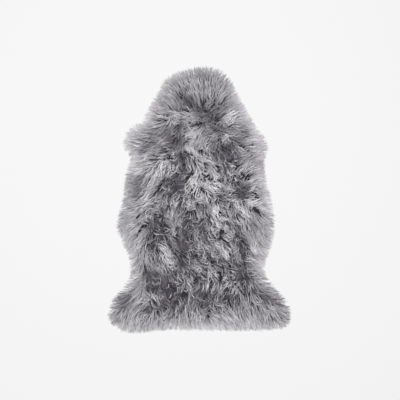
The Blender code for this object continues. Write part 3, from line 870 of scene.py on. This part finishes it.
# The tree that grows a strand from each root.
grower = bpy.data.node_groups.new("grow_wool", "GeometryNodeTree")
grower.interface.new_socket("Roots", in_out="INPUT", socket_type="NodeSocketGeometry")
inputs = {}
for name, kind, value in (
    ("Points along", "NodeSocketInt", STRAND_POINTS),
    ("Sides", "NodeSocketInt", STRAND_SIDES),
    ("Tip share", "NodeSocketFloat", TIP_SHARE),
    ("Crimp waves", "NodeSocketFloat", CRIMP_WAVES),
):
    made = grower.interface.new_socket(name, in_out="INPUT", socket_type=kind)
    made.default_value = value
    inputs[name] = (made.identifier, value)
grower.interface.new_socket("Wool", in_out="OUTPUT", socket_type="NodeSocketGeometry")
given = grower.nodes.new("NodeGroupInput")
given = {socket.name: Wire(grower, socket) for socket in given.outputs if socket.name}


def named(name, kind="FLOAT_VECTOR"):
    """What a root, strand or corner has stored under that name."""
    return node(grower, "GeometryNodeInputNamedAttribute", {"data_type": kind}, {"Name": name})


line = node(grower, "GeometryNodeCurvePrimitiveLine")
line = node(grower, "GeometryNodeResampleCurve", None, {"Curve": line, "Count": given["Points along"]})
planted = node(
    grower, "GeometryNodeInstanceOnPoints", None, {"Points": given["Roots"], "Instance": line}
)
strands = node(grower, "GeometryNodeRealizeInstances", None, {"Geometry": planted})
along = node(grower, "GeometryNodeSplineParameter", output="Factor")
passes = [named(f"pass_{k}") for k in range(4)]
while len(passes) > 1:
    passes = [
        blend(grower, along, first, second, "VECTOR") for first, second in zip(passes, passes[1:])
    ]
angle = 2 * math.pi * given["Crimp waves"] * along + named("phase", "FLOAT")
wave = node(grower, "ShaderNodeMath", {"operation": "SINE"}, {0: angle}) * along
strands = node(
    grower,
    "GeometryNodeSetPosition",
    None,
    {"Geometry": strands, "Position": passes[0] + named("crimp") * wave},
)
taper = 1.0 - along * along * (1.0 - given["Tip share"])
strands = node(
    grower,
    "GeometryNodeStoreNamedAttribute",
    {"data_type": "FLOAT", "domain": "POINT"},
    {"Geometry": strands, "Name": "along", "Value": along},
)
profile = node(
    grower, "GeometryNodeCurvePrimitiveCircle", None, {"Resolution": given["Sides"], "Radius": 1.0}
)
profile = node(
    grower,
    "GeometryNodeStoreNamedAttribute",
    {"data_type": "FLOAT_VECTOR", "domain": "POINT"},
    {"Geometry": profile, "Name": "around", "Value": node(grower, "GeometryNodeInputPosition")},
)
wool = node(
    grower,
    "GeometryNodeCurveToMesh",
    None,
    {
        "Curve": strands,
        "Profile Curve": profile,
        "Scale": named("girth", "FLOAT") * taper * 0.5,
        "Fill Caps": True,
    },
)
dye_and_painted_light = node(
    grower,
    "ShaderNodeCombineXYZ",
    None,
    {
        "X": DYE_SHADES[0] + DYE_SHADES[1] * named("shade", "FLOAT"),
        "Y": DYE_LENGTHS[0] + DYE_LENGTHS[1] * named("along", "FLOAT"),
    },
)
dye_and_painted_light = dye_and_painted_light + named("around") * DYE_GIRTH
wool = node(
    grower,
    "GeometryNodeStoreNamedAttribute",
    {"data_type": "FLOAT2", "domain": "CORNER"},
    {"Geometry": wool, "Name": "dye_and_painted_light", "Value": dye_and_painted_light},
)
wool = node(grower, "GeometryNodeSetShadeSmooth", None, {"Geometry": wool})

# The map's first number is a strand's shade and its second how far along the strand a point lies. The
# colour is that of the root at first, and turns into that of the tip. The dark roots are partly the
# wool's own darker grey and partly painted shade deep in the pile.
WOOL_ROOT_DARK_AND_SHADE = (0.020, 0.016, 0.023, 1.0)
WOOL_ROOT_PALE_AND_SHADE = (0.34, 0.32, 0.355, 1.0)
WOOL_TIP_DARK = (0.085, 0.072, 0.096, 1.0)
WOOL_TIP_PALE = (0.95, 0.93, 0.96, 1.0)
TIP_COLOUR_FROM = 0.10
TIP_COLOUR_FULL = 0.85

grey_wool, tree, shader = finish_of("grey_wool")
dye_and_painted_light = node(tree, "ShaderNodeUVMap", {"uv_map": "dye_and_painted_light"})
shade_wire = node(tree, "ShaderNodeSeparateXYZ", None, {0: dye_and_painted_light}, "X")
along_wire = node(tree, "ShaderNodeSeparateXYZ", None, {0: dye_and_painted_light}, "Y")
root_colour_and_shade = blend(tree, shade_wire, WOOL_ROOT_DARK_AND_SHADE, WOOL_ROOT_PALE_AND_SHADE)
tip_colour = blend(tree, shade_wire, WOOL_TIP_DARK, WOOL_TIP_PALE)
growth = node(
    tree,
    "ShaderNodeMapRange",
    {"interpolation_type": "SMOOTHSTEP"},
    {"Value": along_wire, "From Min": TIP_COLOUR_FROM, "From Max": TIP_COLOUR_FULL},
)
colour = blend(tree, growth, root_colour_and_shade, tip_colour)
tree.links.new(colour.socket, shader.inputs["Base Color"])
shader.inputs["Roughness"].default_value = 0.70
shader.inputs["Specular IOR Level"].default_value = 0.25
shader.inputs["Sheen Weight"].default_value = 0.15
shader.inputs["Sheen Roughness"].default_value = 0.5

wool = node(grower, "GeometryNodeSetMaterial", None, {"Geometry": wool, "Material": grey_wool})
ending = grower.nodes.new("NodeGroupOutput")
grower.links.new(wool.socket, ending.inputs["Wool"])

# One piece of wool for each stretch of the pelt, from the tail to the neck.
PIECES = ("wool_tail", "wool_waist", "wool_back", "wool_shoulders", "wool_neck")

order = np.argsort(controls[0][:, 1], kind="stable")
for name, members in zip(PIECES, np.array_split(order, len(PIECES))):
    roots = bpy.data.meshes.new(name)
    roots.vertices.add(len(members))
    roots.vertices.foreach_set("co", controls[0][members].astype(np.float32).ravel())
    for k in range(4):
        stored = roots.attributes.new(f"pass_{k}", "FLOAT_VECTOR", "POINT")
        stored.data.foreach_set("vector", controls[k][members].astype(np.float32).ravel())
    stored = roots.attributes.new("crimp", "FLOAT_VECTOR", "POINT")
    stored.data.foreach_set("vector", crimp[members].astype(np.float32).ravel())
    for label, values in (("shade", shade), ("girth", girth), ("phase", phase)):
        stored = roots.attributes.new(label, "FLOAT", "POINT")
        stored.data.foreach_set("value", values[members].astype(np.float32))
    piece = plain_object(name, roots, grey_wool)
    growing = piece.modifiers.new("grow", "NODES")
    growing.node_group = grower
    for identifier, value in inputs.values():
        growing[identifier] = value
    grown = bpy.data.meshes.new_from_object(piece.evaluated_get(bpy.context.evaluated_depsgraph_get()))
    piece.modifiers.remove(growing)
    piece.data = grown
    grown.name = name
    for label in [item.name for item in grown.attributes]:
        if label.startswith("pass_") or label in ("shade", "girth", "phase", "crimp", "along", "around"):
            grown.attributes.remove(grown.attributes[label])
    # The map of shade and length, painted light and shade included, also serves for baking the finish.
    baking = grown.uv_layers.new(name="OFBake", do_init=False)
    spots = np.zeros(len(grown.loops) * 2, np.float32)
    grown.uv_layers["dye_and_painted_light"].data.foreach_get("uv", spots)
    baking.data.foreach_set("uv", spots)
    grown.uv_layers["dye_and_painted_light"].active_render = True
    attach(piece, "root")

# The skin's flat size and area are those of its own outline.
next_corner = np.roll(pelt_edge, -1, axis=0)
pelt_area = abs((pelt_edge[:, 0] * next_corner[:, 1] - next_corner[:, 0] * pelt_edge[:, 1]).sum()) / 2
pelt_size = pelt_edge.max(axis=0) - pelt_edge.min(axis=0)

# --- The studio -----------------------------------------------------------------------------------
# A pale floor, one broad soft light overhead and an even pale surround. The camera looks straight down
# through a long lens.

FLOOR_HALF = 12.0
FLOOR_COLOUR = (0.15, 0.15, 0.15, 1.0)
FLOOR_GLOW = 0.72
SURROUND = 0.20
SOFTBOX_SIZE = 1.0
SOFTBOX_PLACE = (-0.2, 0.4, 3.1)
SOFTBOX_WATTS = 118.0
PIXEL = 3.558 * MM
FRAME_WIDTH = 400 * PIXEL
CAMERA_HEIGHT = 8.0
CAMERA_SENSOR = 36.0
CAMERA_RANGE = 100.0
MID_WOOL = 30 * MM
WHITE = (1.0, 1.0, 1.0, 1.0)

floor_mesh = bmesh.new()
bmesh.ops.create_grid(floor_mesh, x_segments=2, y_segments=2, size=FLOOR_HALF)
paper, tree, shader = finish_of("studio_paper")
shader.inputs["Base Color"].default_value = FLOOR_COLOUR
shader.inputs["Roughness"].default_value = 0.9
shader.inputs["Specular IOR Level"].default_value = 0.1
shader.inputs["Emission Color"].default_value = WHITE
shader.inputs["Emission Strength"].default_value = FLOOR_GLOW
floor = plain_object("floor", floor_mesh, paper)

world = bpy.data.worlds.new("surround")
world.use_nodes = True
backdrop = world.node_tree.nodes["Background"]
backdrop.inputs["Color"].default_value = WHITE
backdrop.inputs["Strength"].default_value = SURROUND
bpy.context.scene.world = world

softbox = bpy.data.lights.new("softbox", "AREA")
softbox.shape = "SQUARE"
softbox.size = SOFTBOX_SIZE
softbox.energy = SOFTBOX_WATTS
softbox_stand = bpy.data.objects.new("softbox", softbox)
softbox_stand.location = SOFTBOX_PLACE
aim = np.array(SOFTBOX_PLACE)
softbox_stand.rotation_euler = (
    -math.atan2(aim[1], aim[2]),
    math.atan2(aim[0], math.hypot(aim[1], aim[2])),
    0.0,
)
bpy.context.scene.collection.objects.link(softbox_stand)

lens = bpy.data.cameras.new("overhead")
lens.sensor_width = CAMERA_SENSOR
lens.lens = CAMERA_SENSOR * CAMERA_HEIGHT / FRAME_WIDTH
lens.clip_end = CAMERA_RANGE
overhead = bpy.data.objects.new("overhead", lens)
overhead.location = (0.0, PIXEL / 2, CAMERA_HEIGHT + MID_WOOL)
bpy.context.scene.collection.objects.link(overhead)
bpy.context.scene.camera = overhead
bpy.context.scene.view_settings.view_transform = "Standard"
